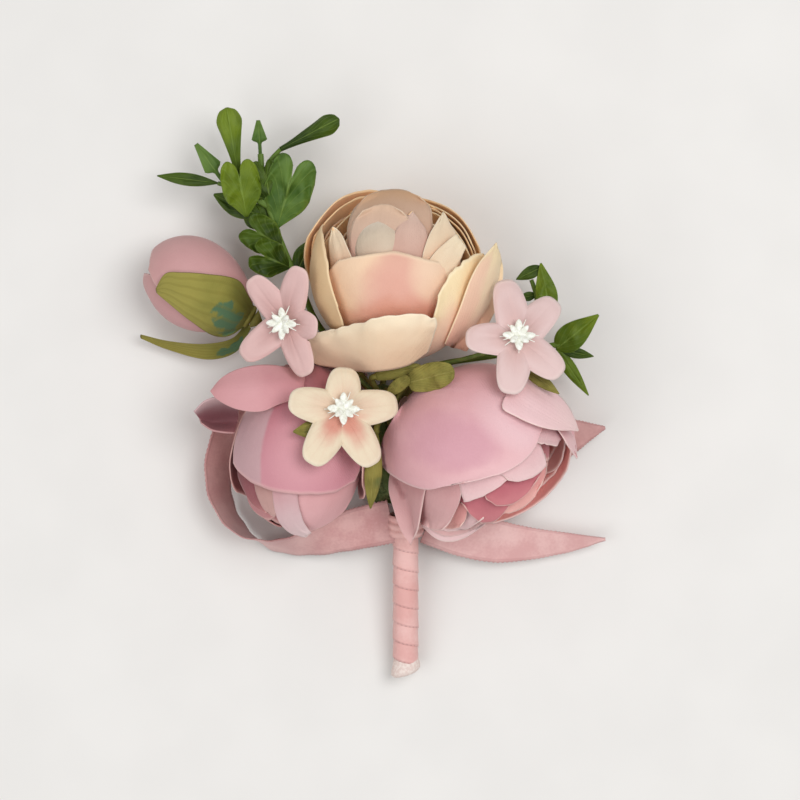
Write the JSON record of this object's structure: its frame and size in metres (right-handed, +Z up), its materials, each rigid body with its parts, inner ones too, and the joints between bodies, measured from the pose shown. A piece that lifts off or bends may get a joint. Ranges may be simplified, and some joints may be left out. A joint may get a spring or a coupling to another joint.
{
  "type": "flower brooch",
  "caption": "Silk-flower boutonniere brooch: cupped roses, a bud, small blossoms and leaves wired to a ribbon-wound stem with a satin bow, on a hinged bar pin with a turning catch.",
  "frame": {"origin": "on the table under the middle of the spray, which lies on its back", "axes": "+Y towards the top of the spray, away from the stem; +Z up, away from the wearer; +X to the right of someone looking at the flowers"},
  "size_m": [0.1094, 0.1294, 0.0402],
  "materials": {
    "peach_cloth": "stiffened silk cloth, cream peach with a blush",
    "mauve_cloth": "stiffened silk cloth, mauve pink",
    "dusky_cloth": "stiffened silk cloth, dusky pink",
    "bud_cloth": "stiffened silk cloth, old pink",
    "heart": "light foam heart covered with cloth",
    "pink_blossom": "die-cut silk cloth, pale pink",
    "cream_blossom": "die-cut silk cloth, cream with a coral middle",
    "stamen": "moulded white",
    "olive_cloth": "printed olive cloth on wire",
    "leaf_plastic": "soft moulded green plastic",
    "satin": "dusty pink satin ribbon",
    "floral_tape": "crepe floral tape",
    "felt": "green felt",
    "pin_steel": "nickel-plated steel"
  },
  "bodies": {
    "flower_spray": {"peach_rose_front_roll": "peach_cloth", "peach_rose_right_tip": "peach_cloth", "peach_rose_back_left": "peach_cloth", "peach_rose_right_strip": "peach_cloth", "peach_rose_outer_left": "peach_cloth", "peach_rose_back_right": "peach_cloth", "peach_rose_back": "peach_cloth", "peach_rose_front": "peach_cloth", "peach_rose_inner_right": "peach_cloth", "peach_rose_inner_left": "peach_cloth", "peach_rose_inner_back": "peach_cloth", "peach_rose_heart_right": "peach_cloth", "peach_rose_heart_left": "peach_cloth", "peach_rose_core": "heart", "peach_rose_calyx": "olive_cloth", "right_rose_upper": "mauve_cloth", "right_rose_low_tip": "mauve_cloth", "right_rose_under": "mauve_cloth", "right_rose_front": "mauve_cloth", "right_rose_under_left": "mauve_cloth", "right_rose_low": "mauve_cloth", "right_rose_under_right": "mauve_cloth", "right_rose_inner_pale": "mauve_cloth", "right_rose_inner_flap": "mauve_cloth", "right_rose_core": "heart", "right_rose_calyx": "olive_cloth", "left_rose_outer_left": "dusky_cloth", "left_rose_under": "dusky_cloth", "left_rose_outer_right": "dusky_cloth", "left_rose_front": "dusky_cloth", "left_rose_far_left": "dusky_cloth", "left_rose_strip": "dusky_cloth", "left_rose_low_right": "dusky_cloth", "left_rose_core": "heart", "left_rose_calyx": "olive_cloth", "bud_upper": "bud_cloth", "bud_lower": "bud_cloth", "bud_calyx": "olive_cloth", "cream_blossom_petals": "cream_blossom", "cream_blossom_stamen": "stamen", "right_blossom_petals": "pink_blossom", "right_blossom_stamen": "stamen", "left_blossom_petals": "pink_blossom", "left_blossom_stamen": "stamen", "left_sprig": "leaf_plastic", "right_sprig": "leaf_plastic", "leaf_middle": "olive_cloth", "leaf_low": "olive_cloth", "leaf_left": "olive_cloth", "ribbon_loop": "satin", "ribbon_long_tail": "satin", "ribbon_short_tail": "satin", "ribbon_knot": "satin", "stem_binding": "floral_tape", "stem_wrap": "satin", "pin_pad": "felt", "pin_bar": "pin_steel", "pin_rivet": "pin_steel"},
    "needle": {"pin_needle": "pin_steel"},
    "safety_sleeve": {"pin_sleeve": "pin_steel"}
  },
  "joints": [
    {"name": "needle_hinge", "type": "hinge", "parent": "flower_spray", "child": "needle", "pos_m": [0.00321, -0.00291, 0.00183], "axis": [1, 0, 0], "range_deg": [0, 90]},
    {"name": "sleeve_turn", "type": "hinge", "parent": "flower_spray", "child": "safety_sleeve", "pos_m": [0.00321, -0.02263, 0.00183], "axis": [0, -1, 0], "range_deg": [0, 110]}
  ]
}
